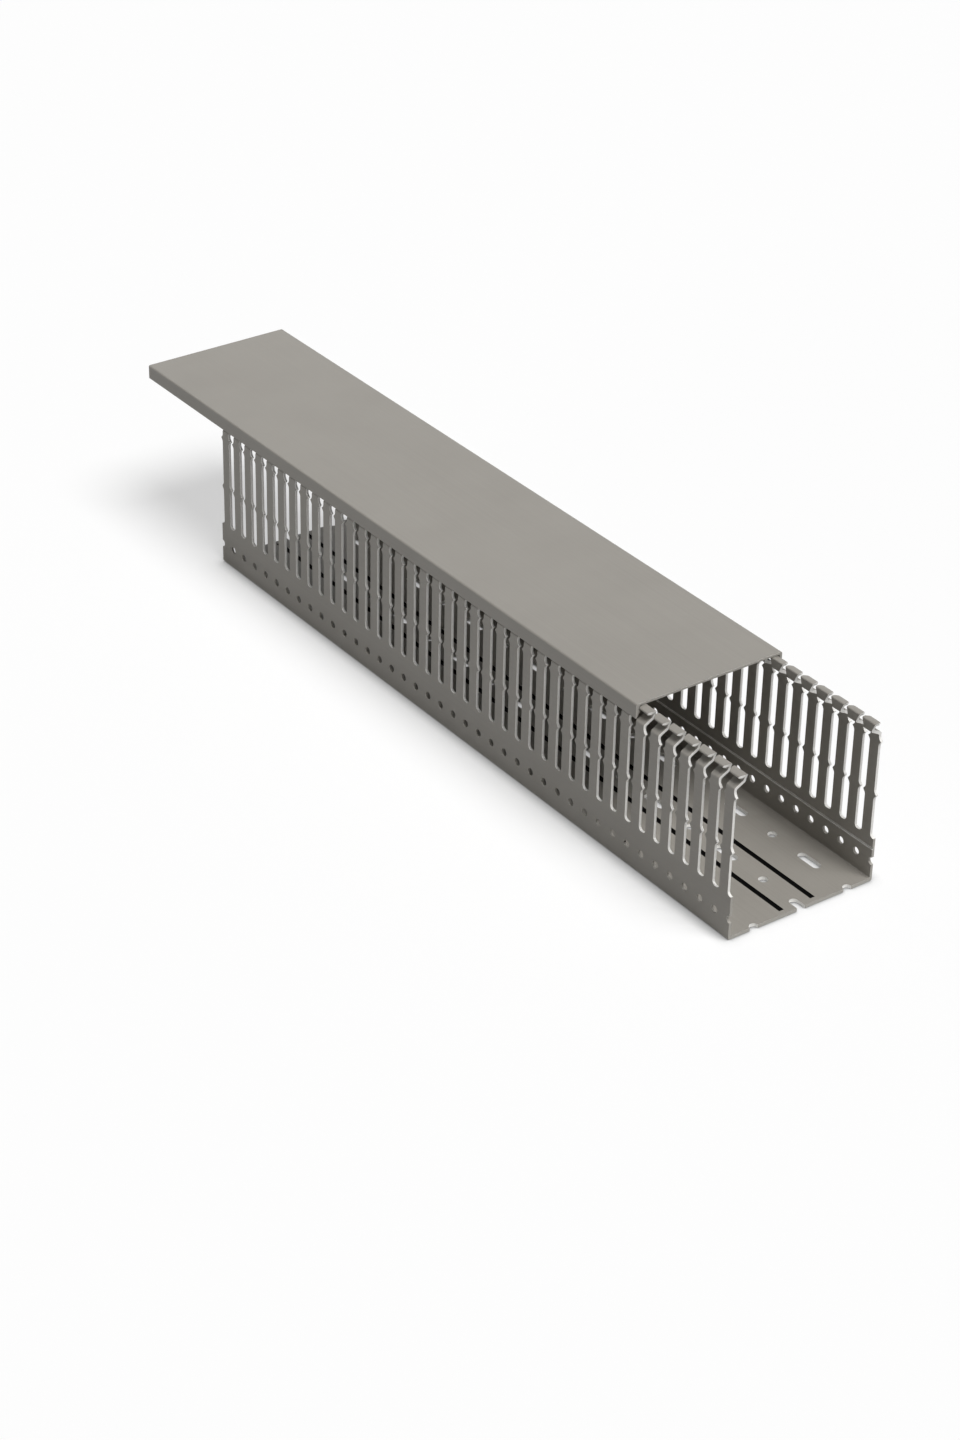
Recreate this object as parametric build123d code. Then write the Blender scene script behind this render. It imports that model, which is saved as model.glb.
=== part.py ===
"""Slotted wire duct: an extruded and punched channel with a clip-over cover that is set back."""
from build123d import *
import os

# Frame, in mm: origin under the floor at mid-length and mid-width, +X towards the open end, +Z up.

# Channel
duct_length = 500.0
duct_width = 100.0
duct_height = 100.0
wall = 1.6
floor = 2.0
pitch = 12.5
foot_radius = 1.2
floor_radius = 0.8

# Finger slots, punched through both walls
slot_width = 5.8
slot_bottom = 27.0
slot_corner = 1.7
waist_reach = 1.5
waist_height = 4.4
waist_share = 0.365

# Keyhole at the top of each slot, between the finger shoulders
throat_gap = 2.8
throat_drop = 12.8
throat_rise = 1.7
keyhole_width = 6.2
keyhole_rise = 2.2
head_gap = 2.0

# Knock-out holes below the slots
wall_hole_diameter = 4.7
wall_hole_level = 12.8
wall_hole_sides = 6

# Score line inside each wall, along which the fingers break off
score_level = 21.3
score_height = 2.8
score_depth = 0.6

# Finger heads: shoulder, neck and lip, measured down from the top
bend_drop = 7.6
shoulder_run = 6.2
shoulder_rise = 3.8
lip_drop = 2.2
lip_reach = 4.3
lip_slant = 0.9
head_lean = 0.5

# Cover
cover_top = 1.4
cover_side = 1.5
cover_skirt = 8.9
cover_gap = 0.3
cover_radius = 1.0
bead_reach = 1.4
bead_height = 2.4
cover_setback = 84.7

# Floor punching, in rows that repeat every five pitches
punch_period = 5 * pitch
side_row = 0.325 * duct_width
slotted_hole_width = 5.5
slotted_hole_length = 17.0
round_hole_diameter = 5.5
round_hole_sides = 8

# Grooves along the floor, stopping short of both ends
groove_offset = 10.8
groove_width = 2.2
groove_depth = 0.5
groove_end_gap = 3.2

# Levels and counts that follow from the sizes above
half_width = duct_width / 2
bend_level = duct_height - bend_drop
neck_level = bend_level + shoulder_rise
lip_level = duct_height - lip_drop
lip_tip = shoulder_run - lip_reach
waist_level = slot_bottom + waist_share * (duct_height - slot_bottom)
throat_level = duct_height - throat_drop
keyhole_level = throat_level + keyhole_rise
slot_count = round(duct_length / pitch) + 1
period_count = round(duct_length / punch_period)


# Channel section: the left wall is drawn and mirrored
inner_turn = 0.56 * wall
wall_outline = [
    (0.0, 0.0),
    (0.0, bend_level),
    (shoulder_run, neck_level),
    (shoulder_run, lip_level),
    (lip_tip, lip_level),
    (lip_tip + lip_slant, duct_height),
    (shoulder_run + wall - head_lean, duct_height),
    (shoulder_run + wall, neck_level - inner_turn),
    (wall, bend_level - inner_turn),
    (wall, score_level + score_height / 2),
    (wall - score_depth, score_level),
    (wall, score_level - score_height / 2),
    (wall, floor),
]
left_side = [(v - half_width, w) for v, w in wall_outline]
right_side = [(-y, z) for y, z in reversed(left_side)]
section = make_face(Polyline(left_side + right_side, close=True))
feet = section.vertices().filter_by_position(Axis.Y, -0.1, 0.1)
section = fillet(feet, foot_radius)
floor_corners = section.vertices().filter_by_position(Axis.Y, floor - 0.1, floor + 0.1)
section = fillet(floor_corners, floor_radius)
channel = extrude(Plane.YZ * section, duct_length / 2, both=True)


# Finger slots, with a waist that holds a wire back and a keyhole under the heads
def slot_outline(x):
    """One slot in the XZ plane, centred on x and open at the top."""
    half = slot_width / 2
    side = [
        (half - slot_corner, slot_bottom),
        (half, slot_bottom + slot_corner),
        (half, waist_level - waist_height / 2),
        (half - waist_reach, waist_level),
        (half, waist_level + waist_height / 2),
        (half, throat_level - throat_rise),
        (throat_gap / 2, throat_level),
        (keyhole_width / 2, keyhole_level),
        (keyhole_width / 2, neck_level),
        (head_gap / 2, duct_height),
    ]
    points = [(x + u, z) for u, z in side]
    points += [(x - u, z) for u, z in reversed(side)]
    return make_face(Polyline(points, close=True))


slot_columns = [(i - (slot_count - 1) / 2) * pitch for i in range(slot_count)]
slot_sketch = Sketch() + [slot_outline(x) for x in slot_columns]
slot_cutters = extrude(Plane.XZ * slot_sketch, half_width + 5.0, both=True)

# Knock-out holes, one under each slot
hole_shape = RegularPolygon(wall_hole_diameter / 2, wall_hole_sides)
hole_sketch = Sketch() + [Pos(x, wall_hole_level) * hole_shape for x in slot_columns]
hole_cutters = extrude(Plane.XZ * hole_sketch, half_width + 5.0, both=True)

# Floor punching: slotted and round holes take turns along each row
between_columns = [(i - (period_count - 1) / 2) * punch_period for i in range(period_count)]
period_columns = [(i - period_count / 2) * punch_period for i in range(period_count + 1)]
slotted_hole = SlotOverall(slotted_hole_length, slotted_hole_width)
round_hole = RegularPolygon(round_hole_diameter / 2, round_hole_sides)
end_shift = (slotted_hole_length - slotted_hole_width) / 2
end_shapes = [Pos(x, 0) * round_hole for x in (-end_shift, end_shift)]
middle_hole = make_hull((Sketch() + end_shapes).edges())
slotted_spots = [Pos(x, y) for x in between_columns for y in (-side_row, side_row)]
round_spots = [Pos(x, y) for x in period_columns for y in (-side_row, side_row)]
round_spots += [Pos(x, 0) for x in between_columns]
floor_sketch = Sketch() + [spot * slotted_hole for spot in slotted_spots]
floor_sketch += [spot * round_hole for spot in round_spots]
floor_sketch += [Pos(x, 0) * middle_hole for x in period_columns]
floor_cutters = extrude(floor_sketch, floor + 1.0, both=True)

# Floor grooves
groove_shape = Rectangle(duct_length - 2 * groove_end_gap, groove_width)
groove_spots = [Pos(0, y, floor - groove_depth) for y in (-groove_offset, groove_offset)]
grooves = [extrude(spot * groove_shape, groove_depth + 1.0) for spot in groove_spots]

duct_base = channel - slot_cutters
duct_base = duct_base - hole_cutters
duct_base = duct_base - floor_cutters
duct_base = duct_base - grooves

# Cover section: flat top, skirts flush with the walls and beads that hook under the lips
underside = duct_height + cover_gap
cover_level = underside + cover_top
skirt_face = half_width - cover_side
bead_face = skirt_face - bead_reach
bead_top = lip_level - cover_gap
skirt_level = cover_level - cover_skirt
cover_side_outline = [
    (half_width, cover_level),
    (half_width, skirt_level),
    (skirt_face, skirt_level + cover_side),
    (skirt_face, bead_top - bead_height),
    (bead_face, bead_top - bead_height / 2),
    (bead_face, bead_top - bead_height / 5),
    (skirt_face, bead_top),
    (skirt_face, underside),
]
cover_outline = cover_side_outline + [(-y, z) for y, z in reversed(cover_side_outline)]
cover_section = make_face(Polyline(cover_outline, close=True))
cover_corners = cover_section.vertices().filter_by_position(Axis.Y, cover_level - 0.1, cover_level + 0.1)
cover_section = fillet(cover_corners, cover_radius)
cover_bar = extrude(Plane.YZ * cover_section, duct_length / 2, both=True)
duct_cover = Pos(-cover_setback, 0, 0) * cover_bar

os.makedirs("parts", exist_ok=True)
export_step(duct_base, "parts/duct_base.step")
export_step(duct_cover, "parts/duct_cover.step")
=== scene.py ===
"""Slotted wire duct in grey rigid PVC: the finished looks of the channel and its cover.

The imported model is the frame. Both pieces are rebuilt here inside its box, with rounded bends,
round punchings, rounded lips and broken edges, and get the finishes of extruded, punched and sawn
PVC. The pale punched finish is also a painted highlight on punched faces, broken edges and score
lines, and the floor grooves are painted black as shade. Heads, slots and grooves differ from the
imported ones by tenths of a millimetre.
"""

import logging
import math
from collections.abc import Iterable
from dataclasses import dataclass
from enum import Enum

import bmesh
import bpy
from mathutils import Matrix, Vector

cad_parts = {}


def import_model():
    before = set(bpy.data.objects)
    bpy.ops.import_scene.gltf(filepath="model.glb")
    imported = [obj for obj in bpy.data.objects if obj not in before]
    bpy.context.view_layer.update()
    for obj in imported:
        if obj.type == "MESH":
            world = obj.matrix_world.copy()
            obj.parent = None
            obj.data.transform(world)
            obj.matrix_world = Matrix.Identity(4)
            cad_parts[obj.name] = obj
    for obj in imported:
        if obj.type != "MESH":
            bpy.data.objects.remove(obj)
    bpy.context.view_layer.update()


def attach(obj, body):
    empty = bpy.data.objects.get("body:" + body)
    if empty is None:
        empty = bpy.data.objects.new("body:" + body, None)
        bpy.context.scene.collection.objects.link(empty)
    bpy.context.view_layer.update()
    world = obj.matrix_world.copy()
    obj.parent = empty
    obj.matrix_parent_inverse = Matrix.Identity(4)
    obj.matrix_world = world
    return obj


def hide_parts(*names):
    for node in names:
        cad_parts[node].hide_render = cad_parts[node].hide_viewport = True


log = logging.getLogger("wire_duct")

MM = 0.001

# Points nearer to each other than this are merged, in mm: in an outline, and in a cut piece
OUTLINE_WELD = 0.01
CUT_WELD = 0.005

# Edges sharper than this are broken, in degrees
SHARP_ANGLE = 40

# What the finishes share
PVC_IOR = 1.53
CLOUD_SIZE = 45.0  # soft clouds in the colour, in mm
CLOUD_SHARE = 0.4  # their share in the colour, the rest being tool marks
NOISE_LOW, NOISE_HIGH = 0.3, 0.7  # the values that most of a noise lies between
GLOSS_SPREAD = 0.06  # how far the tool marks move the roughness
MARKS_STRENGTH = 0.6
SATIN_STRENGTH = 0.35
SATIN_RELIEF = 0.02  # depth of the fine grain, in mm

# Sockets of the Mix node by number, because their names repeat
SHARE, FLOAT_A, FLOAT_B, COLOUR_A, COLOUR_B = 0, 2, 3, 6, 7
FLOAT_RESULT, COLOUR_RESULT = 0, 2

# The corners of a rectangle round its centre, in halves of its sides
RECTANGLE = ((-1, -1), (1, -1), (1, 1), (-1, 1))

# One corner of an outline: two coordinates and how far from the corner its rounding starts, in mm
Corner = tuple[float, float, float]


class Face(Enum):
    """How a face of the duct was made, and the highlight or shade painted with its finish, in the
    order of the material slots.
    """

    SKIN = 0
    PUNCHED = 1
    SAWN = 2
    GROOVE = 3


class Along(Enum):
    """The axis that an outline is extruded along, with the turn from the drawing plane."""

    X = Matrix(((0, 0, 1), (1, 0, 0), (0, 1, 0)))
    Y = Matrix(((1, 0, 0), (0, 0, 1), (0, 1, 0)))
    Z = Matrix(((1, 0, 0), (0, 1, 0), (0, 0, 1)))


def linear(code: str) -> tuple[float, float, float, float]:
    """Turns an sRGB hex colour into linear values.

    Args:
        code: the colour as "#RRGGBB".

    Returns:
        Red, green, blue and an alpha of 1, for a node's colour socket.
    """
    values = [int(code[i : i + 2], 16) / 255 for i in (1, 3, 5)]
    rgb = [v / 12.92 if v <= 0.04045 else ((v + 0.055) / 1.055) ** 2.4 for v in values]
    return (rgb[0], rgb[1], rgb[2], 1.0)


def node(
    tree: bpy.types.NodeTree, kind: str, links: dict | None = None, **settings: object
) -> bpy.types.Node:
    """Adds one node with its settings and links.

    Args:
        tree: the node tree to add to.
        kind: the node's type name.
        links: input name or number to an output socket, or to a plain value.
        settings: attributes of the node itself.

    Returns:
        The new node.
    """
    made = tree.nodes.new(kind)
    for name, value in settings.items():
        setattr(made, name, value)
    for name, value in (links or {}).items():
        if isinstance(value, bpy.types.NodeSocket):
            tree.links.new(value, made.inputs[name])
        else:
            made.inputs[name].default_value = value
    return made


@dataclass(frozen=True)
class PvcFinish:
    """Rigid PVC, as one way of working leaves it.

    Args:
        name: the material's name.
        colour: the darker end of its colour.
        pale: the paler end of its colour.
        roughness: mean roughness.
        marks_mm: length of the tool marks along X, Y and Z.
        relief_mm: depth of the tool marks.
        grain_mm: size of the fine grain.
        shine: level of its mirror-like reflection, 0.5 for plain plastic.
    """

    name: str
    colour: str
    pale: str
    roughness: float
    marks_mm: tuple[float, float, float]
    relief_mm: float
    grain_mm: float
    shine: float = 0.5

    def material(self) -> bpy.types.Material:
        """Builds the node material.

        Returns:
            The material, with tool marks, clouds and fine grain.
        """
        made = bpy.data.materials.new(self.name)
        made.use_nodes = True
        tree = made.node_tree
        tree.nodes.clear()
        place = node(tree, "ShaderNodeTexCoord").outputs["Object"]
        stretch = Vector([1.0 / (length * MM) for length in self.marks_mm])
        along = node(tree, "ShaderNodeMapping", {"Vector": place, "Scale": stretch}).outputs[0]
        marks = node(
            tree,
            "ShaderNodeTexNoise",
            {"Vector": along, "Scale": 1.0, "Detail": 3.0, "Roughness": 0.6},
        ).outputs["Fac"]
        grain = node(
            tree,
            "ShaderNodeTexNoise",
            {"Vector": place, "Scale": 1.0 / (self.grain_mm * MM), "Detail": 2.0},
        ).outputs["Fac"]
        cloud = node(
            tree,
            "ShaderNodeTexNoise",
            {"Vector": place, "Scale": 1.0 / (CLOUD_SIZE * MM), "Detail": 4.0},
        ).outputs["Fac"]
        mixed = node(
            tree,
            "ShaderNodeMix",
            {SHARE: CLOUD_SHARE, FLOAT_A: marks, FLOAT_B: cloud},
            data_type="FLOAT",
        ).outputs[FLOAT_RESULT]
        share = node(
            tree,
            "ShaderNodeMapRange",
            {"Value": mixed, "From Min": NOISE_LOW, "From Max": NOISE_HIGH},
        ).outputs[0]
        tone = node(
            tree,
            "ShaderNodeMix",
            {SHARE: share, COLOUR_A: linear(self.colour), COLOUR_B: linear(self.pale)},
            data_type="RGBA",
        ).outputs[COLOUR_RESULT]
        gloss = node(
            tree,
            "ShaderNodeMapRange",
            {
                "Value": marks,
                "From Min": NOISE_LOW,
                "From Max": NOISE_HIGH,
                "To Min": self.roughness - GLOSS_SPREAD,
                "To Max": self.roughness + GLOSS_SPREAD,
            },
        ).outputs[0]
        relief = node(
            tree,
            "ShaderNodeBump",
            {"Strength": MARKS_STRENGTH, "Distance": self.relief_mm * MM, "Height": marks},
        ).outputs[0]
        satin = node(
            tree,
            "ShaderNodeBump",
            {
                "Strength": SATIN_STRENGTH,
                "Distance": SATIN_RELIEF * MM,
                "Height": grain,
                "Normal": relief,
            },
        ).outputs[0]
        shader = node(
            tree,
            "ShaderNodeBsdfPrincipled",
            {
                "Base Color": tone,
                "Roughness": gloss,
                "Normal": satin,
                "IOR": PVC_IOR,
                "Specular IOR Level": self.shine,
            },
        )
        node(tree, "ShaderNodeOutputMaterial", {"Surface": shader.outputs["BSDF"]})
        return made


FINISHES = {
    # Extruded rigid PVC: a satin skin with faint draw lines that run the whole length
    Face.SKIN: PvcFinish(
        name="extruded_grey_pvc",
        colour="#8C8881",
        pale="#97938C",
        roughness=0.45,
        marks_mm=(240, 0.9, 0.9),
        relief_mm=0.02,
        grain_mm=0.35,
    ),
    # Punched PVC: the die shears the edge, which stress-whitens it and leaves it dull; its
    # near-white colour is partly this real whitening and partly a painted highlight
    Face.PUNCHED: PvcFinish(
        name="punched_edge_and_painted_highlight",
        colour="#E6E4DF",
        pale="#F6F5F2",
        roughness=0.7,
        marks_mm=(0.5, 4, 0.5),
        relief_mm=0.05,
        grain_mm=0.25,
    ),
    # Sawn PVC: the saw leaves fine upright scratches and a duller, slightly paler face
    Face.SAWN: PvcFinish(
        name="sawn_pvc_end",
        colour="#9E9A93",
        pale="#B3B0A9",
        roughness=0.62,
        marks_mm=(0.4, 0.4, 12),
        relief_mm=0.04,
        grain_mm=0.25,
    ),
    # Groove in the floor: painted shade, nearly black and with little reflection, standing in for
    # the shadow inside a deep narrow groove
    Face.GROOVE: PvcFinish(
        name="groove_painted_shade",
        colour="#030303",
        pale="#060606",
        roughness=0.9,
        marks_mm=(60, 0.8, 0.8),
        relief_mm=0.02,
        grain_mm=0.35,
        shine=0.05,
    ),
}


def prism(
    bm: bmesh.types.BMesh,
    outline: list[Corner],
    along: Along,
    low: float,
    high: float,
    side: Face,
    end: Face,
    segments: int = 4,
) -> None:
    """Adds an extruded outline to a mesh, with its corners rounded.

    Args:
        bm: the mesh to add to.
        outline: its corners, in mm.
        along: the axis that it is extruded along.
        low: where it starts on that axis, in mm.
        high: where it ends, in mm.
        side: how its long faces were made.
        end: how its two end faces were made.
        segments: facets in each rounding.
    """
    part = bmesh.new()
    corners = [part.verts.new((u * MM, w * MM, low * MM)) for u, w, _ in outline]
    part.faces.new(corners)
    for reach in sorted({r for _, _, r in outline if r > 0}):
        chosen = [v for v, corner in zip(corners, outline) if corner[2] == reach]
        bmesh.ops.bevel(
            part,
            geom=chosen,
            offset=reach * MM,
            offset_type="OFFSET",
            segments=segments,
            profile=0.5,
            affect="VERTICES",
            clamp_overlap=True,
            material=-1,
        )
    bmesh.ops.remove_doubles(part, verts=part.verts[:], dist=OUTLINE_WELD * MM)
    grown = bmesh.ops.extrude_face_region(part, geom=part.faces[:])
    tops = [item for item in grown["geom"] if isinstance(item, bmesh.types.BMVert)]
    bmesh.ops.translate(part, verts=tops, vec=(0, 0, (high - low) * MM))
    part.normal_update()
    for face in part.faces:
        face.material_index = (end if abs(face.normal.z) > 0.5 else side).value
    bmesh.ops.transform(part, matrix=along.value.to_4x4(), verts=part.verts[:])
    bmesh.ops.recalc_face_normals(part, faces=part.faces[:])
    spare = bpy.data.meshes.new("part")
    part.to_mesh(spare)
    part.free()
    bm.from_mesh(spare)
    bpy.data.meshes.remove(spare)


def mirrored(side: list[Corner]) -> list[Corner]:
    """Closes one side of an outline with its mirror image about the first coordinate."""
    return side + [(-u, w, r) for u, w, r in reversed(side)]


def shifted(outline: list[Corner], u: float, w: float = 0.0) -> list[Corner]:
    """Moves an outline by u and w, in mm."""
    return [(a + u, b + w, r) for a, b, r in outline]


def rectangle(length: float, width: float, rounding: float = 0.0) -> list[Corner]:
    """Draws a rectangle round the origin, its length along the first coordinate."""
    return [(a * length / 2, b * width / 2, rounding) for a, b in RECTANGLE]


def disc(diameter: float) -> list[Corner]:
    """Draws a round hole as a square whose corners are rounded until they meet."""
    return rectangle(diameter, diameter, diameter / 2)


def obround(length: float, width: float) -> list[Corner]:
    """Draws a slotted hole with half-round ends, its length along the first coordinate."""
    return rectangle(length, width, width / 2)


def to_object(bm: bmesh.types.BMesh, name: str) -> bpy.types.Object:
    """Makes a mesh object with the four finishes and links it to the scene.

    Args:
        bm: the mesh, which is freed.
        name: the object's name.

    Returns:
        The object, at the origin.
    """
    mesh = bpy.data.meshes.new(name)
    for face in Face:
        mesh.materials.append(bpy.data.materials[FINISHES[face].name])
    bm.to_mesh(mesh)
    bm.free()
    made = bpy.data.objects.new(name, mesh)
    bpy.context.scene.collection.objects.link(made)
    return made


def cut(piece: bpy.types.Object, cutter: bpy.types.Object) -> None:
    """Takes the cutter out of the piece and deletes the cutter.

    Args:
        piece: the piece that is cut.
        cutter: a closed mesh, or several that don't meet.
    """
    step = piece.modifiers.new("cut", "BOOLEAN")
    step.operation = "DIFFERENCE"
    step.solver = "EXACT"
    step.object = cutter
    graph = bpy.context.evaluated_depsgraph_get()
    mesh = bpy.data.meshes.new_from_object(piece.evaluated_get(graph))
    piece.modifiers.clear()
    old = piece.data
    piece.data = mesh
    bpy.data.meshes.remove(old)
    bpy.data.objects.remove(cutter)


def break_edges(piece: bpy.types.Object, width: float) -> None:
    """Breaks the sharp edges of a piece, so that they catch the light, and paints a highlight on
    them with the pale punched finish.

    Args:
        piece: the piece.
        width: width of the broken edge, in mm.
    """
    bm = bmesh.new()
    bm.from_mesh(piece.data)
    bmesh.ops.remove_doubles(bm, verts=bm.verts[:], dist=CUT_WELD * MM)
    bmesh.ops.dissolve_degenerate(bm, edges=bm.edges[:], dist=CUT_WELD * MM)
    bm.to_mesh(piece.data)
    bm.free()
    step = piece.modifiers.new("broken_edges", "BEVEL")
    step.width = width * MM
    step.segments = 1
    step.limit_method = "ANGLE"
    step.angle_limit = math.radians(SHARP_ANGLE)
    step.use_clamp_overlap = True
    # Painted highlight: the bevel faces take the pale punched finish, so every sharp edge shows a
    # pale rim; only on punched rims is part of it real whitening
    step.material = Face.PUNCHED.value


@dataclass
class Channel:
    """The slotted channel: an extruded U with finger walls and a punched floor. Sizes in mm."""

    length: float = 500.0
    width: float = 100.0
    height: float = 100.0
    wall: float = 1.6
    floor: float = 2.0
    pitch: float = 12.5
    overshoot: float = 4.0  # how far a cutter stands out
    broken_edge: float = 0.18

    # Section: levels and reaches of the bend, shoulder, lip and crest of each head
    bend_level: float = 92.3
    neck_level: float = 95.4
    lip_level: float = 98.1
    lip_nose: float = 99.2
    shoulder_run: float = 5.5
    head_wall: float = 1.9
    lip_tip: float = 1.9
    crest: float = 4.7
    head_lean: float = 0.5
    inner_turn_share: float = 0.56  # how much lower the bends are inside, of the head's wall

    # Section: roundings
    foot_radius: float = 1.2
    floor_radius: float = 0.8
    bend_round: float = 0.8
    shoulder_round: float = 0.5
    lip_root_round: float = 0.3
    lip_tip_round: float = 0.4
    lip_nose_round: float = 0.6
    crest_round: float = 1.5
    head_round: float = 2.0

    # Finger slots: bottom, waist, throat, keyhole and the gap between heads
    slot_width: float = 5.6
    slot_bottom: float = 27.0
    waist_level: float = 53.645
    waist_reach: float = 1.7
    waist_height: float = 4.4
    throat_level: float = 87.0
    throat_gap: float = 2.3
    throat_rise: float = 1.7
    keyhole_level: float = 88.7
    keyhole_width: float = 6.0
    head_gap: float = 2.0

    # Finger slots: roundings, from the bottom up
    slot_bottom_round: float = 2.3
    waist_side_round: float = 0.8
    waist_tip_round: float = 0.5
    throat_side_round: float = 1.0
    throat_tip_round: float = 0.3
    keyhole_low_round: float = 1.3
    keyhole_high_round: float = 1.6
    gap_round: float = 0.8

    # What parts two lips, measured inwards from their tips
    lobe_width: float = 8.2
    notch_flare: float = 0.9
    notch_start: float = -0.8
    notch_wide_depth: float = 0.7
    notch_wide_round: float = 0.9
    notch_root_depth: float = 3.4
    notch_root_round: float = 1.2
    notch_end_depth: float = 4.0
    notch_rise: float = 0.9  # how far above the neck it starts
    notch_overshoot: float = 1.0

    # Knock-out holes in the walls, and the score lines inside them
    wall_hole: float = 4.7
    wall_hole_level: float = 12.8
    wall_hole_segments: int = 5
    score_level: float = 20.8
    score_height: float = 1.8
    score_depth: float = 0.8
    score_overlap: float = 0.05  # how far the lower half reaches past the middle
    blade_back: float = 0.8  # how far its blade stands out of the wall

    # Floor punching and grooves
    period: float = 62.5
    side_row: float = 32.5
    slotted_length: float = 17.0
    slotted_width: float = 5.5
    round_hole: float = 5.5
    floor_hole_segments: int = 6
    groove_offset: float = 10.8
    groove_width: float = 3.2
    groove_depth: float = 0.5
    groove_end_gap: float = 3.2
    floor_overshoot: float = 1.0  # how far a cutter stands out of the floor's upper face

    def section(self) -> list[Corner]:
        """Draws the section of the channel in Y and Z.

        Returns:
            Its corners in mm, from the left foot up over the head and down to the floor, mirrored.
        """
        inner_turn = self.inner_turn_share * self.head_wall
        head = self.shoulder_run + self.head_wall
        left = [
            (0.0, 0.0, self.foot_radius),
            (0.0, self.bend_level, self.bend_round),
            (self.shoulder_run, self.neck_level, self.shoulder_round),
            (self.shoulder_run, self.lip_level, self.lip_root_round),
            (self.lip_tip, self.lip_level, self.lip_tip_round),
            (self.lip_tip, self.lip_nose, self.lip_nose_round),
            (self.crest, self.height, self.crest_round),
            (head - self.head_lean, self.height, self.head_round),
            (head, self.neck_level - inner_turn, self.bend_round),
            (self.wall, self.bend_level - inner_turn, self.bend_round),
            (self.wall, self.floor, self.floor_radius),
        ]
        return mirrored(shifted(left, -self.width / 2))

    def slot(self) -> list[Corner]:
        """Draws one finger slot in X and Z, centred on X.

        Returns:
            Its corners in mm: round bottom, waist, throat, keyhole and the gap between heads.
        """
        half, hole = self.slot_width / 2, self.keyhole_width / 2
        gap, top = self.head_gap / 2, self.height
        side = [
            (half, self.slot_bottom, self.slot_bottom_round),
            (half, self.waist_level - self.waist_height / 2, self.waist_side_round),
            (half - self.waist_reach, self.waist_level, self.waist_tip_round),
            (half, self.waist_level + self.waist_height / 2, self.waist_side_round),
            (half, self.throat_level - self.throat_rise, self.throat_side_round),
            (self.throat_gap / 2, self.throat_level, self.throat_tip_round),
            (hole, self.keyhole_level, self.keyhole_low_round),
            (hole, self.neck_level, self.keyhole_high_round),
            (gap, top, self.gap_round),
            (gap, top + self.overshoot, 0.0),
        ]
        return mirrored(side)

    def lobe_notch(self) -> list[Corner]:
        """Draws what parts two lips, in X and Y, centred on X, from the lip's tip at Y 0 inwards.

        Returns:
            Its corners in mm: wide at the tips of the lips and narrow at their roots.
        """
        wide, gap = (self.pitch - self.lobe_width) / 2, self.head_gap / 2
        side = [
            (wide + self.notch_flare, self.notch_start, 0.0),
            (wide, self.notch_wide_depth, self.notch_wide_round),
            (gap, self.notch_root_depth, self.notch_root_round),
            (gap, self.notch_end_depth, 0.0),
        ]
        return mirrored(side)

    def _columns(self) -> list[float]:
        """Lists where the slots are along X, in mm, from one end to the other."""
        count = round(self.length / self.pitch)
        return [(i - count / 2) * self.pitch for i in range(count + 1)]

    def _punches(self) -> bpy.types.Object:
        """Makes the punches of every slot and hole.

        Returns:
            All of them as one object.
        """
        bm = bmesh.new()
        reach = self.width / 2 + self.overshoot
        across = (Along.Y, -reach, reach)
        punched, sawn = (Face.PUNCHED, Face.PUNCHED), (Face.SAWN, Face.SAWN)
        slot, wall_hole = self.slot(), shifted(disc(self.wall_hole), 0, self.wall_hole_level)
        for x in self._columns():
            prism(bm, shifted(slot, x), *across, *punched)
            prism(bm, shifted(wall_hole, x), *across, *sawn, segments=self.wall_hole_segments)
        through = (Along.Z, -self.overshoot, self.floor + self.floor_overshoot)
        slotted = obround(self.slotted_length, self.slotted_width)
        round_hole = disc(self.round_hole)
        periods = round(self.length / self.period)
        for i in range(2 * periods + 1):
            x = (i / 2 - periods / 2) * self.period
            sides, middle = (slotted, round_hole) if i % 2 else (round_hole, slotted)
            for y, shape in ((-self.side_row, sides), (self.side_row, sides), (0.0, middle)):
                hole = shifted(shape, x, y)
                prism(bm, hole, *through, *punched, segments=self.floor_hole_segments)
        return to_object(bm, "punches")

    def _score_tools(self, low: float, high: float, face: Face) -> bpy.types.Object:
        """Makes the blades that cut half of each score line, along which fingers break off.

        Args:
            low: the level where the half starts, in mm.
            high: the level where it ends; its deep side is at the score level.
            face: how its face is left.

        Returns:
            Both blades as one object.
        """
        bm = bmesh.new()
        inner = self.width / 2 - self.wall
        deep = inner + self.score_depth
        lower_half = low < self.score_level
        blade = [
            (inner - self.blade_back, low, 0.0),
            (inner if lower_half else deep, low, 0.0),
            (deep if lower_half else inner, high, 0.0),
            (inner - self.blade_back, high, 0.0),
        ]
        half = self.length / 2 + self.overshoot
        for shape in (blade, [(-u, w, r) for u, w, r in blade]):
            prism(bm, shape, Along.X, -half, half, face, face)
        return to_object(bm, "score_tools")

    def _lobe_tools(self) -> bpy.types.Object:
        """Makes the tools that round the lips between two heads.

        Returns:
            All of them as one object.
        """
        bm = bmesh.new()
        low, high = self.neck_level + self.notch_rise, self.height + self.notch_overshoot
        for x in self._columns():
            lobe = shifted(self.lobe_notch(), x, self.lip_tip - self.width / 2)
            for notch in (lobe, [(u, -w, r) for u, w, r in lobe]):
                prism(bm, notch, Along.Z, low, high, Face.PUNCHED, Face.PUNCHED)
        return to_object(bm, "lobe_tools")

    def _groove_tools(self) -> bpy.types.Object:
        """Makes the tools of the floor grooves.

        Returns:
            Both of them as one object.
        """
        bm = bmesh.new()
        box = rectangle(self.length - 2 * self.groove_end_gap, self.groove_width)
        low, high = self.floor - self.groove_depth, self.floor + self.floor_overshoot
        for y in (-self.groove_offset, self.groove_offset):
            prism(bm, shifted(box, 0.0, y), Along.Z, low, high, Face.GROOVE, Face.GROOVE)
        return to_object(bm, "groove_tools")

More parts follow.
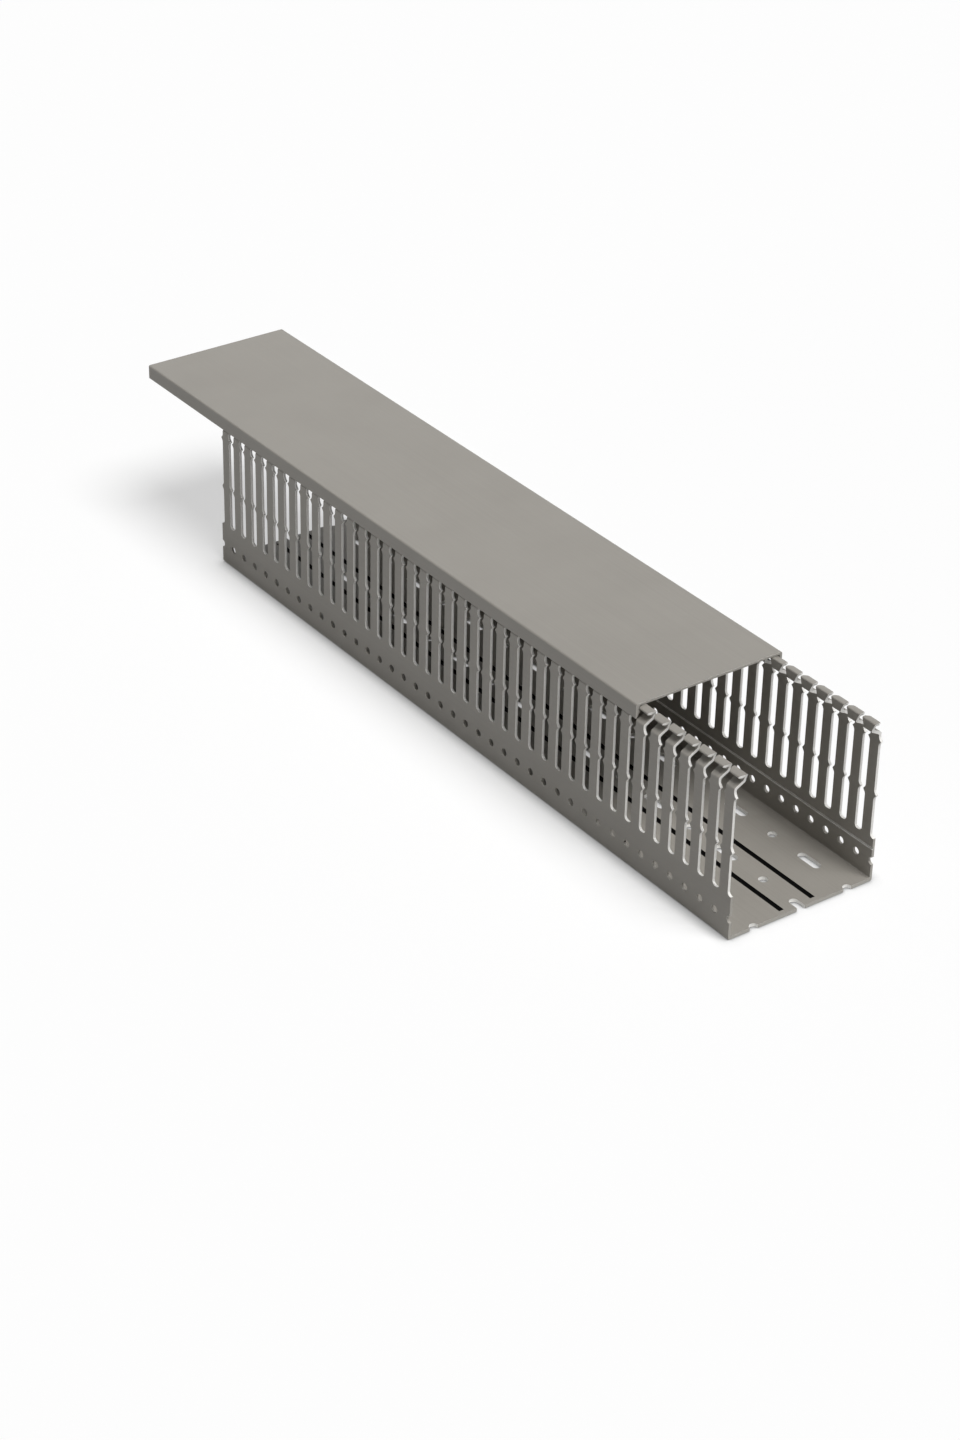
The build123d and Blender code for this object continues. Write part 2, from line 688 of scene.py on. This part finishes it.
    def build(self) -> bpy.types.Object:
        """Extrudes the section, punches and scores it, breaks the edges and grooves the floor.

        Returns:
            The finished channel.
        """
        bm = bmesh.new()
        half = self.length / 2
        prism(bm, self.section(), Along.X, -half, half, Face.SKIN, Face.SAWN)
        piece = to_object(bm, "channel")
        cut(piece, self._punches())
        cut(piece, self._lobe_tools())
        middle, rise = self.score_level, self.score_height / 2
        cut(piece, self._score_tools(middle, middle + rise, Face.SKIN))
        # Painted highlight: the lower, upward face of each score line takes the pale punched
        # finish so that it shows as a light line
        cut(piece, self._score_tools(middle - rise, middle + self.score_overlap, Face.PUNCHED))
        break_edges(piece, self.broken_edge)
        cut(piece, self._groove_tools())
        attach(piece, "base")
        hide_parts("duct_base")
        return piece


@dataclass
class Cover:
    """The clip-over cover: a flat top with skirts and the beads that hook on. Sizes in mm."""

    length: float = 500.0
    width: float = 100.0
    setback: float = 84.7
    underside: float = 100.3
    top: float = 1.4
    side: float = 1.5
    skirt: float = 8.9
    bead_reach: float = 1.4
    bead_height: float = 2.4
    bead_top: float = 97.5
    broken_edge: float = 0.15

    # Roundings, from the top edge round the skirt and the bead
    radius: float = 1.0
    skirt_round: float = 0.15
    skirt_inner_round: float = 0.3
    bead_round: float = 0.3
    bead_top_round: float = 0.2
    inner_round: float = 0.5

    def section(self) -> list[Corner]:
        """Draws the section of the cover in Y and Z.

        Returns:
            Its corners in mm, from the right edge round the bead, mirrored.
        """
        face = self.width / 2 - self.side
        bead = face - self.bead_reach
        level = self.underside + self.top
        right = [
            (self.width / 2, level, self.radius),
            (self.width / 2, level - self.skirt, self.skirt_round),
            (face, level - self.skirt + self.side, self.skirt_inner_round),
            (face, self.bead_top - self.bead_height, self.bead_round),
            (bead, self.bead_top - self.bead_height / 2, self.bead_round),
            (bead, self.bead_top - self.bead_height / 5, self.bead_top_round),
            (face, self.bead_top, self.bead_top_round),
            (face, self.underside, self.inner_round),
        ]
        return mirrored(right)

    def build(self) -> bpy.types.Object:
        """Extrudes the section and breaks the sawn edges.

        Returns:
            The finished cover, set back from the open end.
        """
        bm = bmesh.new()
        low = -self.length / 2 - self.setback
        prism(bm, self.section(), Along.X, low, low + self.length, Face.SKIN, Face.SAWN)
        piece = to_object(bm, "cover_profile")
        break_edges(piece, self.broken_edge)
        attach(piece, "cover")
        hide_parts("duct_cover")
        return piece


@dataclass
class Studio:
    """Pale floor, white surround, a soft key light, a faint side light and the camera."""

    floor_half: float = 4.0  # in metres
    floor_gap: float = 0.3  # in mm, under the duct
    floor_colour: str = "#D8D8D8"
    floor_roughness: float = 0.9
    white: str = "#FFFFFF"

    # Painted shade: where the floor is seen in a narrow place, such as through a hole, ambient
    # occlusion darkens its colour for the camera
    hole_painted_shade: str = "#6E6E6E"
    hole_reach: float = 8.0  # in mm
    hole_dark: float = 0.5
    hole_clear: float = 0.95

    # Painted light: a glow that the floor adds for the camera to show white, lifting the duct's
    # shadow; ambient occlusion makes it less near the duct
    shadow_fill: float = 0.6
    shadow_reach: float = 30.0  # in mm

    # Lamps: direction, strength, and width as seen from the duct in degrees
    key_towards: tuple[float, float, float] = (0.42, 0.08, 1.0)
    key_strength: float = 3.2
    key_spread: float = 34.0
    side_towards: tuple[float, float, float] = (0.15, -1.0, 0.1)
    side_strength: float = 0.22
    side_spread: float = 20.0
    surround: float = 0.015

    # Camera: place in metres, turn in degrees, lens and sensor in mm, furthest view in metres
    camera_place: tuple[float, float, float] = (1.3084, -0.98972, 0.98812)
    camera_turn: tuple[float, float, float] = (58.7075, -1.0286, 54.3828)
    lens: float = 81.985
    sensor: float = 36.0
    furthest: float = 50.0

    def build(self) -> None:
        """Makes the floor, the surround, the lamps and the camera."""
        self._floor()
        self._surround()
        self._sun("key", self.key_towards, self.key_strength, self.key_spread)
        self._sun("side", self.side_towards, self.side_strength, self.side_spread)
        self._camera()
        bpy.context.scene.view_settings.view_transform = "Standard"

    def _floor(self) -> None:
        """Makes the pale floor under the duct."""
        bm = bmesh.new()
        bmesh.ops.create_grid(bm, x_segments=1, y_segments=1, size=self.floor_half)
        bmesh.ops.translate(bm, verts=bm.verts[:], vec=(0, 0, -self.floor_gap * MM))
        mesh = bpy.data.meshes.new("studio_floor")
        bm.to_mesh(mesh)
        bm.free()
        floor = bpy.data.objects.new("studio_floor", mesh)
        bpy.context.scene.collection.objects.link(floor)
        mesh.materials.append(self._floor_material())

    def _floor_material(self) -> bpy.types.Material:
        """Makes the floor's material, which shows white and keeps part of the duct's shadow, with
        a painted glow and painted shade.

        Returns:
            The material.
        """
        made = bpy.data.materials.new("pale_floor")
        made.use_nodes = True
        tree = made.node_tree
        tree.nodes.clear()
        seen = node(tree, "ShaderNodeLightPath").outputs["Is Camera Ray"]
        white = linear(self.white)
        # Painted shade: ambient occlusion over a short reach darkens the floor's colour for the
        # camera in narrow places
        near = node(
            tree, "ShaderNodeAmbientOcclusion", {"Distance": self.hole_reach * MM}, samples=6
        ).outputs["AO"]
        depth = node(
            tree,
            "ShaderNodeMapRange",
            {"Value": near, "From Min": self.hole_dark, "From Max": self.hole_clear},
        ).outputs[0]
        shaded = node(
            tree,
            "ShaderNodeMix",
            {SHARE: depth, COLOUR_A: linear(self.hole_painted_shade), COLOUR_B: white},
            data_type="RGBA",
        ).outputs[COLOUR_RESULT]
        colour = node(
            tree,
            "ShaderNodeMix",
            {SHARE: seen, COLOUR_A: linear(self.floor_colour), COLOUR_B: shaded},
            data_type="RGBA",
        ).outputs[COLOUR_RESULT]
        sheet = node(
            tree,
            "ShaderNodeBsdfPrincipled",
            {"Base Color": colour, "Roughness": self.floor_roughness, "Specular IOR Level": 0.0},
        ).outputs[0]
        # Painted light: the floor's own glow for the camera, scaled down where ambient occlusion
        # finds the duct near
        glow = node(tree, "ShaderNodeEmission", {"Color": white, "Strength": 1.0}).outputs[0]
        open_air = node(
            tree, "ShaderNodeAmbientOcclusion", {"Distance": self.shadow_reach * MM}, samples=8
        ).outputs["AO"]
        lifted = node(
            tree, "ShaderNodeMath", {0: open_air, 1: self.shadow_fill}, operation="MULTIPLY"
        ).outputs[0]
        share = node(
            tree, "ShaderNodeMath", {0: seen, 1: lifted}, operation="MULTIPLY"
        ).outputs[0]
        mixed = node(tree, "ShaderNodeMixShader", {0: share, 1: sheet, 2: glow}).outputs[0]
        node(tree, "ShaderNodeOutputMaterial", {"Surface": mixed})
        return made

    def _surround(self) -> None:
        """Makes a surround that shows white and lights the object only a little."""
        world = bpy.data.worlds.new("surround")
        world.use_nodes = True
        tree = world.node_tree
        tree.nodes.clear()
        path = node(tree, "ShaderNodeLightPath").outputs
        seen = node(
            tree,
            "ShaderNodeMath",
            {0: path["Is Camera Ray"], 1: path["Is Glossy Ray"]},
            operation="MAXIMUM",
        ).outputs[0]
        shown = node(
            tree, "ShaderNodeMath", {0: seen, 1: path["Is Transmission Ray"]}, operation="MAXIMUM"
        ).outputs[0]
        strength = node(
            tree, "ShaderNodeMapRange", {"Value": shown, "To Min": self.surround, "To Max": 1.0}
        ).outputs[0]
        light = node(
            tree, "ShaderNodeBackground", {"Color": linear(self.white), "Strength": strength}
        )
        node(tree, "ShaderNodeOutputWorld", {"Surface": light.outputs["Background"]})
        bpy.context.scene.world = world

    def _sun(
        self, name: str, towards: tuple[float, float, float], strength: float, spread: float
    ) -> None:
        """Adds one soft lamp that lights from far away.

        Args:
            name: the lamp's name.
            towards: the direction to the lamp.
            strength: its strength.
            spread: how wide it looks from the object, in degrees.
        """
        data = bpy.data.lights.new(name, "SUN")
        data.energy = strength
        data.angle = math.radians(spread)
        lamp = bpy.data.objects.new(name, data)
        lamp.location = towards
        lamp.rotation_euler = Vector(towards).to_track_quat("Z", "Y").to_euler()
        bpy.context.scene.collection.objects.link(lamp)

    def _camera(self) -> None:
        """Places the camera as the photograph was taken."""
        data = bpy.data.cameras.new("camera")
        data.sensor_fit = "VERTICAL"
        data.sensor_height = self.sensor
        data.lens = self.lens
        data.clip_end = self.furthest
        camera = bpy.data.objects.new("camera", data)
        camera.location = self.camera_place
        camera.rotation_euler = [math.radians(angle) for angle in self.camera_turn]
        bpy.context.scene.collection.objects.link(camera)
        bpy.context.scene.camera = camera


def main() -> None:
    """Builds the pieces in order and reports each one."""
    logging.basicConfig(level=logging.INFO, format="%(name)s: %(message)s")
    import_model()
    for finish in FINISHES.values():
        finish.material()
        log.info("finish %s", finish.name)
    for maker in (Channel(), Cover()):
        piece = maker.build()
        log.info("piece %s: %d faces", piece.name, len(piece.data.polygons))
    Studio().build()
    bpy.context.view_layer.update()


if __name__ == "__main__":
    main()
